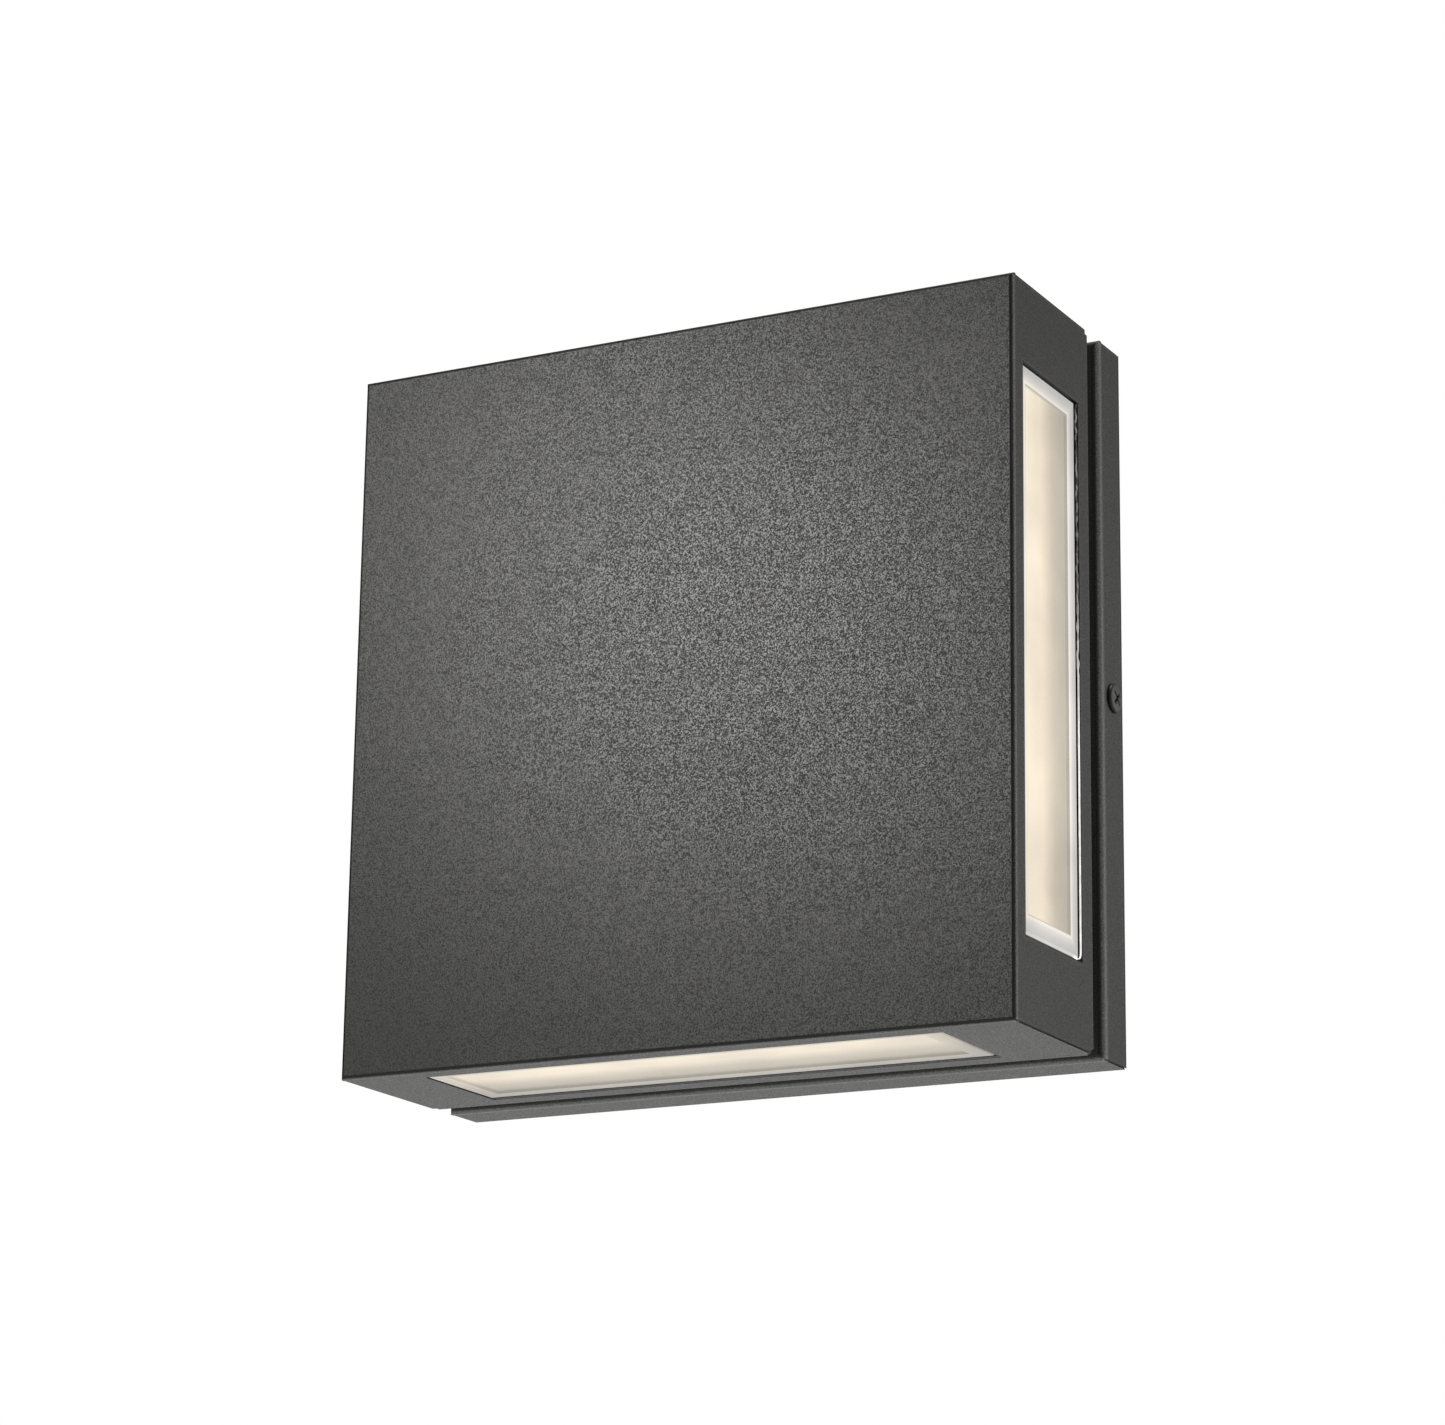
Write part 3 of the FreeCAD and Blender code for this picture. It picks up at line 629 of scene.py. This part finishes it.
# At the rear edges: a painted highlight band on the body; on the pan a painted highlight band that ends
# in painted shade right at the edge.
BODY_REAR_STOPS = ((0.60, PLAIN_TINT), (0.75, grey(0.38)), (0.92, grey(0.38)), (1.00, PLAIN_TINT))
PAN_REAR_STOPS = ((0.10, PLAIN_TINT), (0.30, grey(0.34)), (0.50, grey(0.30)), (0.62, grey(0.03)))

body_coat = powder_coat("black_powder_coat_body", BODY_LOW.y, BODY_BEND_STOPS,
                        BODY_HIGH.y, BODY_REAR_STOPS)
pan_coat = powder_coat("black_powder_coat_pan", PAN_LOW.y, PAN_BEND_STOPS,
                       PAN_HIGH.y, PAN_REAR_STOPS)
zinc = rolled_metal("zinc_plate", (0.52, 0.53, 0.55), (0.70, 0.71, 0.72))
blackened = black_oxide()

dress(body_coat, "housing_shell")
dress(pan_coat, "back_pan", "neck_block")
dress(rolled_metal("bare_aluminium", (0.62, 0.63, 0.64), (0.76, 0.77, 0.78)), "rear_plate")
dress(zinc, "corner_brackets", "wall_strap", "neck_bolts", "neck_washers", "neck_nuts",
      "strip_screws", "driver_screws", "side_nuts")
dress(blackened, "plate_screws")
dress(moulded("green_screw", (0.02, 0.16, 0.05), (0.04, 0.26, 0.08), 0.3, 0.5), "ground_screw")
dress(moulded("white_enamel", (0.78, 0.78, 0.76), (0.86, 0.86, 0.84), 0.45, 0.60), "reflector")
dress(moulded("driver_plastic", (0.70, 0.70, 0.68), (0.80, 0.80, 0.78), 0.45, 0.65), "driver_case")
dress(moulded("white_board", (0.78, 0.80, 0.79), (0.88, 0.89, 0.88), 0.25, 0.40),
      *all_sides("led_strip"))
dress(phosphor(), *all_sides("led_chips"))
dress(foam(), "rear_gasket", "neck_gasket", "wall_gasket")
dress(moulded("black_rubber", grey(0.012), grey(0.028), 0.55, 0.75), "plate_grommet", "pan_grommet")

for number, side_name in enumerate(SIDE_TURNS):
    add_pane(side_name)
    add_sealant(side_name, float(number))
for side_name in UPRIGHT_SIDES:
    add_side_screw(side_name, blackened)


# ---------------------------------------------------------------- studio

def add_camera():
    """The camera, with everything in focus."""
    data = bpy.data.cameras.new("camera")
    data.sensor_width = SENSOR_WIDTH
    data.lens = CAMERA_LENS
    data.dof.use_dof = False
    camera = bpy.data.objects.new("camera", data)
    camera.location = CAMERA_PLACE
    camera.rotation_euler = [math.radians(angle) for angle in CAMERA_TURN]
    bpy.context.scene.collection.objects.link(camera)
    bpy.context.scene.camera = camera


def add_softbox(name, place, size, power, aim=(0.0, -0.04, 0.0)):
    """A soft rectangular light, turned to its aim, which the camera doesn't see."""
    data = bpy.data.lights.new(name, "AREA")
    data.shape = "RECTANGLE"
    data.size, data.size_y = size
    data.energy = power
    data.color = LAMP_COLOUR
    light = bpy.data.objects.new(name, data)
    light.location = place
    light.rotation_euler = (Vector(aim) - Vector(place)).to_track_quat("-Z", "Y").to_euler()
    light.visible_camera = False
    bpy.context.scene.collection.objects.link(light)


def add_overhead(strength, spread):
    """Soft light from straight above, which brightens the floor and leaves upright faces alone."""
    data = bpy.data.lights.new("overhead", "SUN")
    data.energy = strength
    data.angle = math.radians(spread)
    light = bpy.data.objects.new("overhead", data)
    bpy.context.scene.collection.objects.link(light)


def add_floor():
    """A plain pale floor, well below the fixture."""
    mesh = bpy.data.meshes.new("floor")
    shape = bmesh.new()
    bmesh.ops.create_grid(shape, x_segments=8, y_segments=8, size=FLOOR_HALF)
    shape.to_mesh(mesh)
    shape.free()
    floor = bpy.data.objects.new("floor", mesh)
    floor.location.z = FLOOR_HEIGHT
    bpy.context.scene.collection.objects.link(floor)
    paint = Paint("studio_floor", Roughness=0.7)
    paint.link(paint.ramp(paint.noise(0.5), (0.3, grey(0.80)), (0.7, grey(0.84))), "Base Color")
    mesh.materials.append(paint.material)


def add_world(ambient):
    """A white backdrop for the camera, which lights the object only a little."""
    world = bpy.data.worlds.new("studio")
    bpy.context.scene.world = world
    world.use_nodes = True
    nodes = world.node_tree.nodes
    links = world.node_tree.links
    backdrop = nodes["Background"]
    backdrop.inputs["Color"].default_value = (*grey(1.0), 1.0)
    surroundings = nodes.new("ShaderNodeBackground")
    surroundings.inputs["Color"].default_value = (*grey(1.0), 1.0)
    surroundings.inputs["Strength"].default_value = ambient
    seen = nodes.new("ShaderNodeLightPath").outputs["Is Camera Ray"]
    chooser = nodes.new("ShaderNodeMixShader")
    links.new(seen, chooser.inputs[0])
    links.new(surroundings.outputs[0], chooser.inputs[1])
    links.new(backdrop.outputs[0], chooser.inputs[2])
    links.new(chooser.outputs[0], nodes["World Output"].inputs["Surface"])


add_camera()
add_world(0.05)
add_floor()
add_overhead(2.2, 20.0)
add_softbox("key", (-0.184, -0.455, 0.150), (0.18, 0.18), 1.26, (0.02, -0.0724, 0.035))
add_softbox("edge", (1.20, -0.70, 0.38), (0.3, 0.3), 1.5)
add_softbox("rear_right", (1.15, 0.95, 0.18), (0.8, 0.8), 4.8)
add_softbox("rear_left", (-0.85, 1.50, -0.45), (1.0, 1.0), 1.7)
bpy.context.scene.view_settings.view_transform = "Standard"

bpy.context.view_layer.update()
